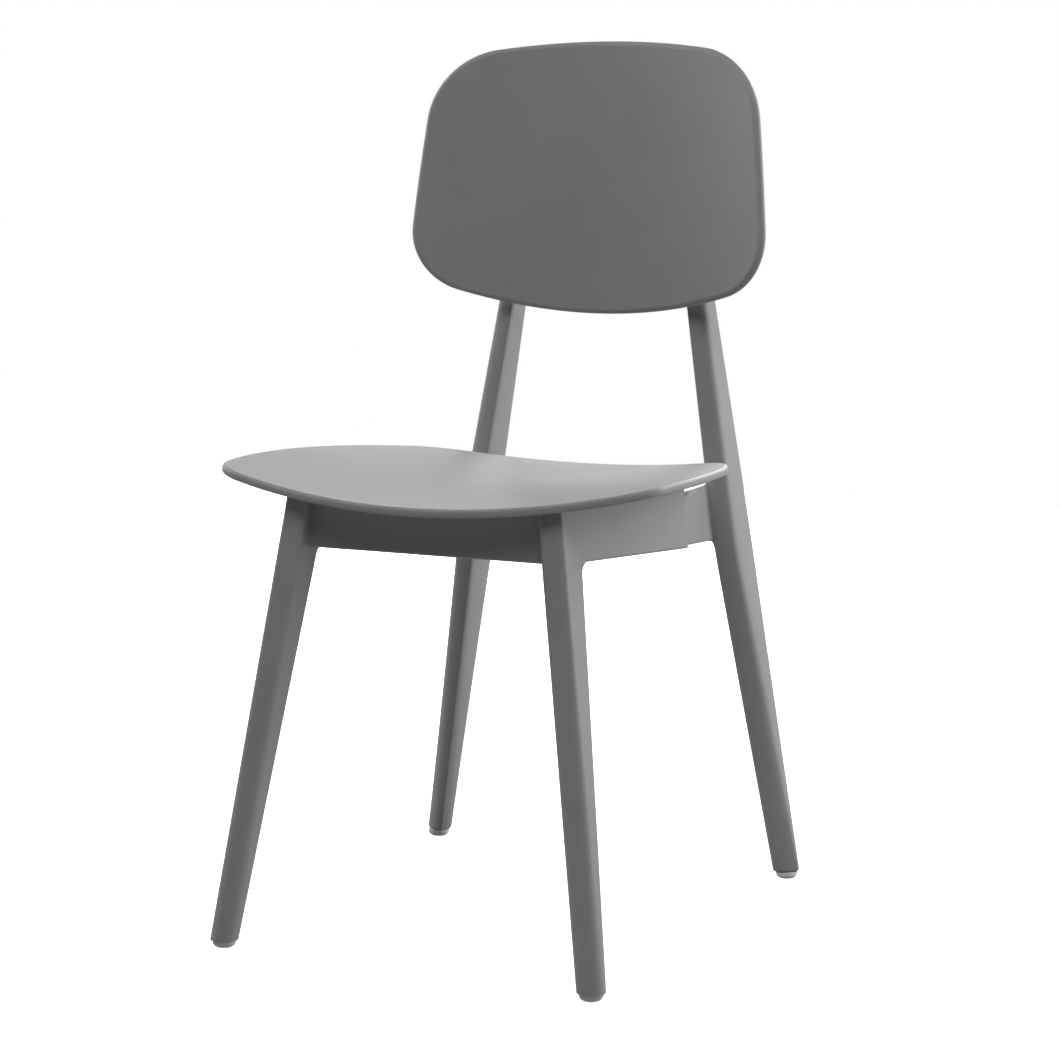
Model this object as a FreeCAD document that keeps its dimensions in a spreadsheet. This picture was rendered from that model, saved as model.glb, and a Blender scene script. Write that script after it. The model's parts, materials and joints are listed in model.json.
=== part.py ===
import FreeCAD, Part
import os
import Sketcher

os.makedirs("parts", exist_ok=True)

# A moulded plastic side chair. Z is up, the sitter faces -Y and X is the sitter's left.
# The origin is on the floor, midway between the four feet.

# Driving dimensions, in millimetres and degrees
SIZES = {
    "front_foot_x": 194,            # centre line to a front foot
    "front_foot_y": 237,            # origin forwards to the front feet
    "front_splay": 8.3,             # front legs lean inwards as they rise
    "front_rake": 8.0,              # front legs lean backwards as they rise
    "rear_foot_x": 206.5,           # centre line to a rear foot
    "rear_foot_y": 237,             # origin backwards to the rear feet
    "rear_splay": 9.34,             # rear legs lean inwards as they rise
    "rear_rake": 0.96,              # back edge of the rear legs leans forwards
    "foot_width": 27,               # diameter of every leg at its foot
    "glide_height": 7,              # floor to the end of the legs
    "front_top_width": 24,          # front leg across the chair, where it meets the seat
    "front_top_depth": 44,          # front leg along the chair, where it meets the seat
    "front_top_radius": 3.5,
    "front_top_height": 450,        # height at which those two are measured
    "knee_low_height": 345,         # rear leg just below the stub
    "knee_low_width": 26,
    "knee_low_depth": 54,
    "knee_high_height": 425,        # rear leg just above the stub
    "knee_high_width": 25,
    "knee_high_depth": 50,
    "knee_radius": 6,
    "upright_height": 812,
    "upright_top_width": 18,
    "upright_top_depth": 21,
    "upright_top_radius": 6,
    "upright_top_edge": 3,
    "rail_width": 24,
    "rail_low_height": 372.3,       # lower edge of the side rails, above the origin
    "rail_slope": 4.53,             # lower edge drops towards the back
    "joint_y": 84.8,                 # join line of rail and stub, at the rail's lower edge
    "joint_slant": 9,              # join line leans backwards as it rises
    "rail_edge_radius": 2.5,
    "rail_leg_radius": 18,          # bend from the front leg into the rail
    "bend_fade": 50,                # height over which the bends run out into the legs
    "bend_depth": 8,                # depth inside a leg at which a bend has run out
    "stub_recess": 3.5,             # stub face set in from the rail face
    "stub_step": 1.6,               # stub's lower edge above the rail's
    "stub_top_height": 415.5,
    "stub_leg_radius": 20,          # bend from the stub into the rear leg
    "tenon_length": 34,
    "tenon_width": 12,
    "tenon_low_height": 374,
    "tenon_top_height": 407,
    "fit_clearance": 0.3,
    "seat_height": 433.5,           # top of the seat above the origin
    "seat_slope": 0.1,              # seat drops towards the back
    "seat_dish_radius": 994,       # hollow across the seat
    "seat_thickness": 8,
    "seat_front_y": 191,
    "seat_rear_y": 147.5,
    "seat_front_half_width": 225.3,   # at the front corners, before rounding
    "seat_rear_half_width": 159.4,
    "seat_side_bulge": 32.8,
    "seat_end_bulge": 31.6,
    "seat_front_corner": 42.6,
    "seat_rear_corner": 88.9,
    "seat_top_edge": 3.2,
    "seat_low_edge": 2.4,
    "back_bow_radius": 460,         # hollow across the back rest
    "back_thickness": 9.5,
    "back_stand_off": 3,            # bosses hold the back rest off the uprights
    "back_top_height": 867,
    "back_bottom_height": 587,
    "back_top_half_width": 178,     # at the top corners, before rounding
    "back_bottom_half_width": 202,
    "back_top_drop": 18.5,          # top edge from its middle to its corners
    "back_bottom_rise": 40,         # bottom edge from its middle to its corners
    "back_side_bulge": 2,
    "back_top_corner": 82,
    "back_bottom_corner": 65,
    "back_front_edge": 5,
    "back_rear_edge": 3.5,
    "boss_diameter": 17,
    "boss_low_height": 648,
    "boss_high_height": 762,
    "front_apron_y": 186,           # origin forwards to the apron's front face
    "front_apron_thickness": 16,
    "front_apron_low_height": 385,
    "rear_apron_y": 211,            # origin backwards to the apron's front face
    "rear_apron_thickness": 16,
    "rear_apron_low_height": 354,
    "rear_apron_top_height": 401,
    "apron_edge_radius": 2,
    "apron_tenon_length": 11,
    "apron_tenon_margin": 4,        # apron's shoulder round its tenons
    "bracket_plate": 2,
    "bracket_arm": 30,
    "bracket_length": 24,
    "front_bracket_height": 393,    # lower end of the front brackets at the rail
    "rear_bracket_height": 370,     # lower end of the rear brackets at the stub
    "bracket_hole_place": 19,       # bracket's corner to its screws
    "bracket_screw_diameter": 4,
    "bracket_screw_length": 13,
    "bracket_head_diameter": 8,
    "bracket_head_height": 2.4,
    "seat_boss_diameter": 14,
    "seat_boss_depth": 7,
    "seat_screw_front_y": -96,
    "seat_screw_rear_y": 36,
    "seat_screw_diameter": 5,
    "seat_screw_bite": 10,          # screw length inside the seat and its boss
    "seat_web": 12,                 # rail material between screw head and boss
    "seat_head_diameter": 10,
    "seat_head_height": 3.5,
    "frame_bolt_y": 68,
    "frame_bolt_low_height": 382,
    "frame_bolt_high_height": 399,
    "frame_bolt_diameter": 6,
    "frame_head_diameter": 9.5,
    "frame_head_height": 2.6,
    "frame_head_sink": 3,
    "frame_insert_diameter": 8.5,
    "frame_insert_length": 5.5,
    "back_screw_diameter": 5,
    "back_screw_bite": 10,          # screw length inside a back rest boss
    "back_web": 8,                  # upright material under a screw head
    "back_head_diameter": 9.5,
    "back_head_height": 3,
    "cap_thickness": 2.5,
    "glide_diameter": 23,
    "glide_dome": 3.5,
    "glide_flat_diameter": 13,
    "glide_stem_diameter": 8,
    "glide_stem_length": 15,
    "vent_diameter": 3,
    "vent_depth": 4,
    "vent_y": 44,
    "vent_height": 422.4,
    "recess_across": 4,             # hexagon recess in screw and bolt heads
    "recess_depth": 1.6,
}

# Lengths that only have to be long enough, and directions

FAR = "200"
THROUGH = "1200"
ACROSS = FreeCAD.Vector(1, 0, 0)
BACKWARDS = FreeCAD.Vector(0, 1, 0)
UPWARDS = FreeCAD.Vector(0, 0, 1)
SIDES = (1, -1)

doc = FreeCAD.newDocument("chair")
sheet = doc.addObject("Spreadsheet::Sheet", "sizes")
for row, (name, value) in enumerate(SIZES.items(), start=1):
    sheet.set("A%d" % row, name)
    sheet.set("B%d" % row, str(value))
    sheet.setAlias("B%d" % row, name)
doc.recompute()


def side_name(side):
    return "left" if side > 0 else "right"


# Formulas

def size(name):
    return "sizes." + name


def number(formula):
    return float(sheet.evalExpression(str(formula)))


def clear(formula):
    return f"({formula} + sizes.fit_clearance)"


def between(low, high, low_height, high_height, height):
    """A value that runs evenly from low to high between two heights."""
    return f"({low} + ({high} - ({low})) * ({height} - {low_height}) / ({high_height} - {low_height}))"


def arc_radius(chord, rise):
    """Radius of the arc that bulges by rise over a chord."""
    return f"((({chord}) ^ 2 / 4 + {rise} ^ 2) / (2 * {rise}))"


# Leg lines, as formulas of the height

FOOT_RADIUS = "(sizes.foot_width / 2 - 0.5)"


def front_leg_x(height):
    return f"(sizes.front_foot_x - tan(sizes.front_splay) * ({height}))"


def front_leg_y(height):
    return f"(-sizes.front_foot_y + tan(sizes.front_rake) * ({height}))"


def front_leg_width(height):
    return between(size("foot_width"), size("front_top_width"), size("glide_height"),
                   size("front_top_height"), height)


def front_outer_x(height):
    """The outer face of a front leg, which the side rail continues."""
    return f"({front_leg_x(height)} + {front_leg_width(height)} / 2)"


def front_inner_x(height):
    return f"({front_leg_x(height)} - {front_leg_width(height)} / 2)"


def front_leg_back_y(height):
    depth = between(size("foot_width"), size("front_top_depth"), size("glide_height"),
                    size("front_top_height"), height)
    return f"({front_leg_y(height)} + {depth} / 2)"


def rear_leg_x(height):
    return f"(sizes.rear_foot_x - tan(sizes.rear_splay) * ({height}))"


def rear_leg_y(height, depth):
    """Centre of the rear leg's section, whose back edge is one straight line."""
    return f"(sizes.rear_foot_y + sizes.foot_width / 2 - tan(sizes.rear_rake) * ({height}) - {depth} / 2)"


def stub_inner_x(height):
    """The inner face of the rear leg's stub, parallel to the rail's."""
    return f"({front_outer_x(height)} - sizes.rail_width + sizes.stub_recess)"


def rear_leg_front_y(height):
    """The front edge of the rear leg below the stub."""
    low = f"({rear_leg_y(size('glide_height'), size('foot_width'))} - sizes.foot_width / 2)"
    high = f"({rear_leg_y(size('knee_low_height'), size('knee_low_depth'))} - sizes.knee_low_depth / 2)"
    return between(low, high, size("glide_height"), size("knee_low_height"), height)


def upright_front_y(height):
    """The flat front face of an upright, on which the back rest's bosses sit."""
    low = f"({rear_leg_y(size('knee_high_height'), size('knee_high_depth'))} - sizes.knee_high_depth / 2)"
    high = f"({rear_leg_y(size('upright_height'), size('upright_top_depth'))} - sizes.upright_top_depth / 2)"
    return between(low, high, size("knee_high_height"), size("upright_height"), height)


# Rail lines. The rail's faces lean inwards with the outer face of the front leg.

RAIL_TILT = (f"atan(({front_outer_x(size('rail_low_height'))} - {front_outer_x(size('seat_height'))})"
             f" / (sizes.seat_height - sizes.rail_low_height))")
HALF_RAIL = f"(sizes.rail_width / 2 * cos({RAIL_TILT}))"


def rail_middle_x(height):
    return f"({front_outer_x(height)} - sizes.rail_width / 2)"


def rail_low_z(y):
    return f"(sizes.rail_low_height - tan(sizes.rail_slope) * ({y}))"


def joint_line_y(height):
    return f"(sizes.joint_y + tan(sizes.joint_slant) * (({height}) - {rail_low_z(size('joint_y'))}))"


def through_point(side, height, outward):
    """Where an axis square to the rail's faces lies, some way outwards from the rail's middle plane."""
    x = f"{side} * ({rail_middle_x(height)} + ({outward}) * cos({RAIL_TILT}))"
    return x, f"({height} + ({outward}) * sin({RAIL_TILT}))"


# Seat lines

SEAT_UNDER = "(sizes.seat_height - sizes.seat_thickness)"
SEAT_UNDER_RADIUS = "(sizes.seat_dish_radius + sizes.seat_thickness)"
SEAT_RISE = "(-tan(sizes.seat_slope))"
SEAT_REACH = "(sizes.seat_front_half_width + sizes.seat_side_bulge + 20)"


def dish_z(radius, x, lowest):
    """Height at x of an arc that is hollow upwards and has the given lowest point."""
    return f"({lowest} + {radius} - sqrt(({radius}) ^ 2 - ({x}) ^ 2))"


def boss_end(y):
    """Lower end of a seat boss. The boss hangs from the seat's underside over the middle of a rail."""
    root = f"({dish_z(SEAT_UNDER_RADIUS, rail_middle_x(SEAT_UNDER), SEAT_UNDER)} + {SEAT_RISE} * ({y}))"
    return f"({root} - sizes.seat_boss_depth)"


def socket_floor(y):
    return f"({boss_end(y)} - sizes.fit_clearance)"


def seat_head_height(y):
    return f"({socket_floor(y)} - sizes.seat_web * cos({RAIL_TILT}))"


# Back rest lines

BACK_MIDDLE = "((sizes.back_top_height + sizes.back_bottom_height) / 2)"
BACK_LEAN = (f"(({upright_front_y(size('boss_high_height'))} - {upright_front_y(size('boss_low_height'))})"
             f" / (sizes.boss_high_height - sizes.boss_low_height))")
BACK_OUTER_RADIUS = "(sizes.back_bow_radius + sizes.back_thickness)"
BACK_BOW = f"({BACK_OUTER_RADIUS} - sqrt({BACK_OUTER_RADIUS} ^ 2 - {rear_leg_x(BACK_MIDDLE)} ^ 2))"
BACK_FACE_Y = (f"({upright_front_y(BACK_MIDDLE)} - sizes.back_stand_off - sizes.back_thickness"
               f" + {BACK_BOW})")


def back_head_y(height):
    return f"({upright_front_y(height)} + sizes.back_web)"


# Fastener places shared by the pieces they join

SEAT_SCREW_PLACES = (size("seat_screw_front_y"), size("seat_screw_rear_y"))
FRAME_BOLT_HEIGHTS = (size("frame_bolt_low_height"), size("frame_bolt_high_height"))
BACK_SCREW_HEIGHTS = (size("boss_low_height"), size("boss_high_height"))
FRAME_HEAD_SEAT = f"(sizes.frame_head_sink - {HALF_RAIL})"
BRACKET_BITE = "(sizes.bracket_screw_length - sizes.bracket_plate)"


# Sketches

def plane(body, role):
    return next(item for item in body.Origin.OriginFeatures if item.Role == role)


def new_sketch(body, name, role, offset=("0", "0", "0"), tilt=None):
    """A sketch on an origin plane, moved by formulas and tilted about one of its own axes."""
    sketch = body.newObject("Sketcher::SketchObject", name)
    sketch.AttachmentSupport = [(plane(body, role), "")]
    sketch.MapMode = "FlatFace"
    if tilt:
        axis, angle = tilt
        sketch.AttachmentOffset = FreeCAD.Placement(FreeCAD.Vector(), FreeCAD.Rotation(axis, 1))
        sketch.setExpression("AttachmentOffset.Rotation.Angle", angle)
    for letter, formula in zip("xyz", offset):
        sketch.setExpression("AttachmentOffset.Base." + letter, str(formula))
    return sketch


def front_view(body, name, y, x="0", z="0"):
    """A sketch seen along the chair, some way behind the origin."""
    return new_sketch(body, name, "XZ_Plane", (x, z, f"-({y})"))


def side_view(body, name, x="0"):
    return new_sketch(body, name, "YZ_Plane", ("0", "0", x))


def up_rail(body, name, side, height, y, inset="0"):
    """A sketch square to the leaning rail, on the rail's middle plane or inset from it."""
    x = f"{side} * ({rail_middle_x(height)} - {inset})"
    return new_sketch(body, name, "XY_Plane", (x, y, height), (BACKWARDS, f"{-side} * {RAIL_TILT}"))


def along_rail_face(body, name, side, y, point):
    """A sketch parallel to the rail's faces, through a point given as x and z."""
    x, z = point
    return new_sketch(body, name, "YZ_Plane", (y, z, x), (ACROSS, f"{-side} * {RAIL_TILT}"))


def hold(sketch, constraint, formula):
    index = sketch.addConstraint(constraint)
    sketch.setExpression("Constraints[%d]" % index, str(formula))


def fix_point(sketch, item, end, corner):
    for kind, formula in zip(("DistanceX", "DistanceY"), corner):
        hold(sketch, Sketcher.Constraint(kind, -1, 1, item, end, number(formula)), formula)


def outline(sketch, corners, bends=None):
    """Closes lines through the corners. A bend makes one side an arc: its radius and its centre's side."""
    bends = bends or {}
    points = [FreeCAD.Vector(number(u), number(v), 0) for u, v in corners]
    ends = []
    for index, start in enumerate(points):
        finish = points[(index + 1) % len(points)]
        if index not in bends:
            ends.append((sketch.addGeometry(Part.LineSegment(start, finish)), 1, 2))
            continue
        formula, side = bends[index]
        radius = number(formula)
        chord = finish - start
        across = FreeCAD.Vector(-chord.y, chord.x, 0).normalize() * side
        centre = (start + finish) / 2 + across * (radius ** 2 - (chord.Length / 2) ** 2) ** 0.5
        item = sketch.addGeometry(Part.ArcOfCircle(start, centre - across * radius, finish))
        ends.append((item, 1, 2) if side > 0 else (item, 2, 1))
    for index, (item, start_end, finish_end) in enumerate(ends):
        following = ends[(index + 1) % len(ends)]
        sketch.addConstraint(Sketcher.Constraint("Coincident", item, finish_end, following[0], following[1]))
        fix_point(sketch, item, start_end, corners[index])
        if index in bends:
            formula = bends[index][0]
            hold(sketch, Sketcher.Constraint("Radius", item, number(formula)), formula)
    return sketch


def disc(sketch, diameter):
    """A circle about the sketch's origin."""
    item = sketch.addGeometry(Part.Circle(FreeCAD.Vector(), UPWARDS, number(diameter) / 2))
    sketch.addConstraint(Sketcher.Constraint("Coincident", item, 3, -1, 1))
    hold(sketch, Sketcher.Constraint("Diameter", item, number(diameter)), diameter)
    return sketch


def rounded_box(sketch, width, depth, radius):
    """A rectangle about the sketch's origin with four equal rounded corners."""
    corner = number(radius)
    inner_x, inner_y = number(width) / 2 - corner, number(depth) / 2 - corner
    quarter = ACROSS.getAngle(BACKWARDS)
    arcs = []
    for index, (right, back) in enumerate(((1, -1), (1, 1), (-1, 1), (-1, -1))):
        circle = Part.Circle(FreeCAD.Vector(right * inner_x, back * inner_y, 0), UPWARDS, corner)
        start = (index - 1) * quarter
        item = sketch.addGeometry(Part.ArcOfCircle(circle, start, start + quarter))
        fix_point(sketch, item, 3, (f"{right} * ({width} / 2 - {radius})", f"{back} * ({depth} / 2 - {radius})"))
        arcs.append(item)
    hold(sketch, Sketcher.Constraint("Radius", arcs[0], corner), radius)
    for index, item in enumerate(arcs):
        following = arcs[(index + 1) % len(arcs)]
        start, finish = sketch.Geometry[item].EndPoint, sketch.Geometry[following].StartPoint
        line = sketch.addGeometry(Part.LineSegment(start, finish))
        sketch.addConstraint(Sketcher.Constraint("Tangent", item, 2, line, 1))
        sketch.addConstraint(Sketcher.Constraint("Tangent", line, 2, following, 1))
        if index:
            sketch.addConstraint(Sketcher.Constraint("Equal", arcs[0], item))
    return sketch


# Features

def new_body(name):
    body = doc.addObject("PartDesign::Body", name)
    body.Label = name
    return body


def extrude(body, kind, sketch, length, reverse=False, both=False, direction=None):
    """A pad or a pocket, square to its sketch or in a slanted direction. It has to change the volume."""
    before = body.Shape.Volume if body.Tip else 0.0
    feature = body.newObject("PartDesign::" + kind, sketch.Name + kind)
    feature.Profile = sketch
    feature.setExpression("Length", str(length))
    feature.Reversed = reverse
    feature.SideType = "Symmetric" if both else "One side"
    if direction:
        feature.UseCustomVector = True
        feature.Direction = FreeCAD.Vector(*[number(part) for part in direction])
        for letter, formula in zip("xyz", direction):
            feature.setExpression("Direction." + letter, str(formula))
    sketch.Visibility = False
    doc.recompute()
    change = body.Shape.Volume - before
    if change == 0 or (change > 0) != (kind == "Pad"):
        raise ValueError("%s of %s does not change its volume as it should" % (sketch.Name, body.Label))
    return feature


def pad(body, sketch, length, **options):
    return extrude(body, "Pad", sketch, length, **options)


def pocket(body, sketch, length, **options):
    return extrude(body, "Pocket", sketch, length, **options)


def loft(body, name, sections):
    feature = body.newObject("PartDesign::AdditiveLoft", name)
    feature.Profile = sections[0]
    feature.Sections = sections[1:]
    feature.Ruled = True
    for section in sections:
        section.Visibility = False
    doc.recompute()
    return feature


def fillet(body, name, radius, chosen):
    """Rounds those edges of the body so far that a test chooses."""
    base = body.Tip
    names = ["Edge%d" % index for index, edge in enumerate(base.Shape.Edges, start=1) if chosen(edge)]
    if not names:
        raise ValueError("no edge for %s of %s" % (name, body.Label))
    feature = body.newObject("PartDesign::Fillet", name)
    feature.Base = (base, names)
    feature.setExpression("Radius", str(radius))
    doc.recompute()
    return feature


# Tests that choose edges

def ends_of(edge):
    return edge.Vertexes[0].Point, edge.Vertexes[-1].Point


def runs_along(edge, direction):
    """True for a straight edge that is parallel to a direction."""
    if len(edge.Vertexes) < 2 or edge.Curve.TypeId != "Part::GeomLine":
        return False
    return abs(abs(edge.tangentAt(edge.FirstParameter) * direction) - 1) < 1e-4


def runs_across_at(y, height):
    """A test for a straight edge across the chair at one place in the side view."""
    place = (number(y), number(height))

    def chosen(edge):
        return all(abs(end.y - place[0]) < 0.1 and abs(end.z - place[1]) < 0.1 for end in ends_of(edge))
    return chosen


def at_height(height):
    """A test for the edges that lie wholly at one height."""
    level = number(height)
    return lambda edge: all(abs(vertex.Z - level) < 0.001 for vertex in edge.Vertexes)


def around(face):
    """A test for the edges of a face, which still holds after other edges are rounded."""
    middles = [edge.CenterOfMass for edge in face.Edges]
    return lambda edge: any((edge.CenterOfMass - middle).Length < 0.01 for middle in middles)


def shared_by(body, first, second):
    """A test for the edges between two faces whose normals meet one condition each."""
    shape = body.Tip.Shape

    def chosen(edge):
        normals = []
        for face in shape.ancestorsOfType(edge, Part.Face):
            normals.append(face.normalAt(*face.Surface.parameter(face.CenterOfMass)))
        if len(normals) != 2:
            return False
        one, other = normals
        return (first(one) and second(other)) or (first(other) and second(one))
    return chosen


def faces_down(normal):
    """True also for a steep face that leans over a little."""
    return normal.z < -0.05


def faces_sideways(normal):
    return abs(normal.x) > 0.9


# Seat

def seat_outline(sketch):
    front, rear = "-sizes.seat_front_y", size("seat_rear_y")
    wide, narrow = size("seat_front_half_width"), size("seat_rear_half_width")
    chord = f"sqrt(({wide} - {narrow}) ^ 2 + ({rear} - ({front})) ^ 2)"
    side = arc_radius(chord, size("seat_side_bulge"))
    front_end = arc_radius("2 * " + wide, size("seat_end_bulge"))
    rear_end = arc_radius("2 * " + narrow, size("seat_end_bulge"))
    corners = [("-" + wide, front), (wide, front), (narrow, rear), ("-" + narrow, rear)]
    return outline(sketch, corners, {0: (front_end, 1), 1: (side, 1), 2: (rear_end, 1), 3: (side, 1)})


def cut_along_seat(body, name, radius, height, limit):
    """Removes what lies between an arc that is hollow upwards and a height well above or below it.

    The cut runs from front to back at the seat's slope."""
    rim = dish_z(radius, SEAT_REACH, height)
    corners = [("-" + SEAT_REACH, rim), (SEAT_REACH, rim), (SEAT_REACH, limit), ("-" + SEAT_REACH, limit)]
    sketch = outline(front_view(body, name, "0"), corners, {0: (radius, 1)})
    return pocket(body, sketch, THROUGH, both=True, direction=("0", "1", SEAT_RISE))


def trim_to_seat(body):
    """Fits a piece's top to the underside of the seat."""
    cut_along_seat(body, "SeatFit", SEAT_UNDER_RADIUS, SEAT_UNDER, f"({SEAT_UNDER} + {FAR})")


def add_seat_boss(body, side, y):
    name = "SeatBoss%d" % len(body.Group)
    sketch = disc(up_rail(body, name, side, boss_end(y), y), size("seat_boss_diameter"))
    pad(body, sketch, "(sizes.seat_boss_depth + sizes.seat_thickness / 2)")
    bore = disc(up_rail(body, name + "Bore", side, boss_end(y), y), clear(size("seat_screw_diameter")))
    pocket(body, bore, clear(size("seat_screw_bite")), reverse=True)


def make_seat():
    body = new_body("seat_panel")
    low, high = "(sizes.seat_height - 60)", "(sizes.seat_height + 80)"
    pad(body, seat_outline(new_sketch(body, "SeatOutline", "XY_Plane", ("0", "0", low))), f"({high} - {low})")
    for place, rear in (("front", False), ("rear", True)):
        fillet(body, "SeatCorners" + place, size("seat_%s_corner" % place),
               lambda edge: runs_along(edge, UPWARDS) and (edge.Vertexes[0].Y > 0) == rear)
    cut_along_seat(body, "SeatHollow", size("seat_dish_radius"), size("seat_height"),
                   f"(sizes.seat_height + {FAR})")
    cut_along_seat(body, "SeatUnderside", SEAT_UNDER_RADIUS, SEAT_UNDER, f"({SEAT_UNDER} - {FAR})")
    low, top = sorted(sorted(body.Shape.Faces, key=lambda face: face.Area)[-2:],
                      key=lambda face: face.CenterOfMass.z)
    fillet(body, "SeatTopEdge", size("seat_top_edge"), around(top))
    fillet(body, "SeatLowEdge", size("seat_low_edge"), around(low))
    for side in SIDES:
        for y in SEAT_SCREW_PLACES:
            add_seat_boss(body, side, y)
    return body


# Rails and legs

def lean_sides(body, side, inset="0"):
    """Cuts a wide block to the rail's two leaning faces, each set in by the inset."""
    low, high = "(sizes.rail_low_height - 2 * sizes.bend_fade)", "(sizes.seat_height + 60)"
    faces = (("Outer", 1, f"(0 - {inset})"), ("Inner", -1, f"({inset} - sizes.rail_width)"))
    for label, outward, face in faces:
        far = f"{side} * ({front_outer_x(low)} + {outward} * 90)"
        corners = [(f"{side} * ({front_outer_x(height)} + {face})", height) for height in (low, high)]
        sketch = outline(front_view(body, "Lean" + label, "0"), corners + [(far, high), (far, low)])
        pocket(body, sketch, THROUGH, both=True)


def rail_block(body, name, side, corners):
    """A block with the given side view, wide enough for the rail's leaning faces."""
    sketch = outline(side_view(body, name, f"{side} * ({front_inner_x('sizes.seat_height')} - 30)"), corners)
    return pad(body, sketch, "(sizes.rail_width + 90)", reverse=side < 0)


def leg_sections(body, side, knots, place_x, place_y):
    sections = []
    for name, height, width, depth, radius in knots:
        place = (f"{side} * {place_x(height)}", place_y(height, depth), height)
        sections.append(rounded_box(new_sketch(body, name, "XY_Plane", place), width, depth, radius))
    return sections


def tenon(body, kind, side, gap="0"):
    """The stub's tenon, or with a gap round it the mortise in the rail's end."""
    low, high = f"(sizes.tenon_low_height - {gap})", f"(sizes.tenon_top_height + {gap})"
    half = f"(sizes.tenon_width / 2 + {gap})"
    corners = [(f"({side} * {rail_middle_x(height)} + {outward} * {half})", height)
               for height, outward in ((low, -1), (low, 1), (high, 1), (high, -1))]
    sketch = outline(front_view(body, "Tenon", f"(sizes.joint_y - sizes.tenon_length - {gap})"), corners)
    return extrude(body, kind, sketch, "(sizes.tenon_length + 2 * sizes.tenon_width)", reverse=kind == "Pad")


FRONT_APRON = {
    "name": "front_apron",
    "front": "(-sizes.front_apron_y)",
    "thickness": size("front_apron_thickness"),
    "low": size("front_apron_low_height"),
    "tenon_top": f"({SEAT_UNDER} - sizes.apron_tenon_margin)",
    "end_x": front_inner_x,
}
REAR_APRON = {
    "name": "rear_apron",
    "front": size("rear_apron_y"),
    "thickness": size("rear_apron_thickness"),
    "low": size("rear_apron_low_height"),
    "tenon_top": "(sizes.rear_apron_top_height - sizes.apron_tenon_margin)",
    "end_x": stub_inner_x,
}


def apron_tenon(body, kind, side, apron, gap="0"):
    """The tenon on an apron's end, or with a gap round it the mortise in the leg."""
    low = f"({apron['low']} + sizes.apron_tenon_margin - {gap})"
    high = f"({apron['tenon_top']} + {gap})"
    reach = f"(sizes.apron_tenon_length + {gap})"
    root = "(-sizes.apron_tenon_margin)"
    corners = [(f"{side} * ({apron['end_x'](height)} + {out})", height)
               for height, out in ((low, root), (low, reach), (high, reach), (high, root))]
    start = f"({apron['front']} + sizes.apron_tenon_margin - {gap})"
    length = f"({apron['thickness']} - 2 * sizes.apron_tenon_margin + 2 * {gap})"
    sketch = outline(front_view(body, "ApronTenon" + side_name(side), start), corners)
    return extrude(body, kind, sketch, length, reverse=kind == "Pad")


FRONT_CORNER = {
    "end": "front",
    "face_y": f"({FRONT_APRON['front']} + sizes.front_apron_thickness)",
    "along": 1,
    "height": size("front_bracket_height"),
    "inset": f"({front_leg_width(size('front_bracket_height'))} - sizes.rail_width / 2)",
}
REAR_CORNER = {
    "end": "rear",
    "face_y": REAR_APRON["front"],
    "along": -1,
    "height": size("rear_bracket_height"),
    "inset": "(sizes.rail_width / 2 - sizes.stub_recess)",
}


def bracket_point(side, corner, inward, up):
    """A place on a corner bracket, inwards from the rail's face and up the lean."""
    start = f"({rail_middle_x(corner['height'])} - {corner['inset']})"
    x = f"{side} * ({start} - ({inward}) * cos({RAIL_TILT}) - ({up}) * sin({RAIL_TILT}))"
    z = f"({corner['height']} - ({inward}) * sin({RAIL_TILT}) + ({up}) * cos({RAIL_TILT}))"
    return x, z


def bracket_screw_y(corner):
    return f"({corner['face_y']} + {corner['along']} * sizes.bracket_hole_place)"


def bracket_bore(body, side, corner):
    """The bore in a rail or stub for the screw through a bracket."""
    point = bracket_point(side, corner, "0", "sizes.bracket_length / 2")
    sketch = along_rail_face(body, "BracketBore", side, bracket_screw_y(corner), point)
    pocket(body, disc(sketch, clear(size("bracket_screw_diameter"))), clear(BRACKET_BITE), reverse=side > 0)


def glide_bore(body, side, x, y):
    sketch = new_sketch(body, "GlideBore", "XY_Plane", (f"{side} * {x}", y, size("glide_height")))
    pocket(body, disc(sketch, clear(size("glide_stem_diameter"))), clear(size("glide_stem_length")),
           reverse=True)


def cut_seat_screw(body, side, y):
    """The socket for a seat boss, the screw's bore and the deep hole its head goes up."""
    name = "SeatScrew%d" % len(body.Group)
    socket = up_rail(body, name + "Socket", side, socket_floor(y), y)
    pocket(body, disc(socket, clear(size("seat_boss_diameter"))), "(sizes.seat_boss_depth * 4)", reverse=True)
    bore = up_rail(body, name + "Bore", side, boss_end(y), y)
    pocket(body, disc(bore, clear(size("seat_screw_diameter"))), THROUGH)
    head = up_rail(body, name + "Head", side, seat_head_height(y), y)
    pocket(body, disc(head, clear(size("seat_head_diameter"))), THROUGH)


def cut_frame_bolt(body, side, height):
    """A bolt's bore from the mortise to the rail's inner face, with a wider sink for its head."""
    y = size("frame_bolt_y")
    name = "FrameBolt%d" % len(body.Group)
    bore = along_rail_face(body, name, side, y, through_point(side, height, "0"))
    pocket(body, disc(bore, clear(size("frame_bolt_diameter"))), size("rail_width"), reverse=side < 0)
    sink = along_rail_face(body, name + "Head", side, y, through_point(side, height, FRAME_HEAD_SEAT))
    pocket(body, disc(sink, clear(size("frame_head_diameter"))), size("rail_width"), reverse=side < 0)


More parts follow.
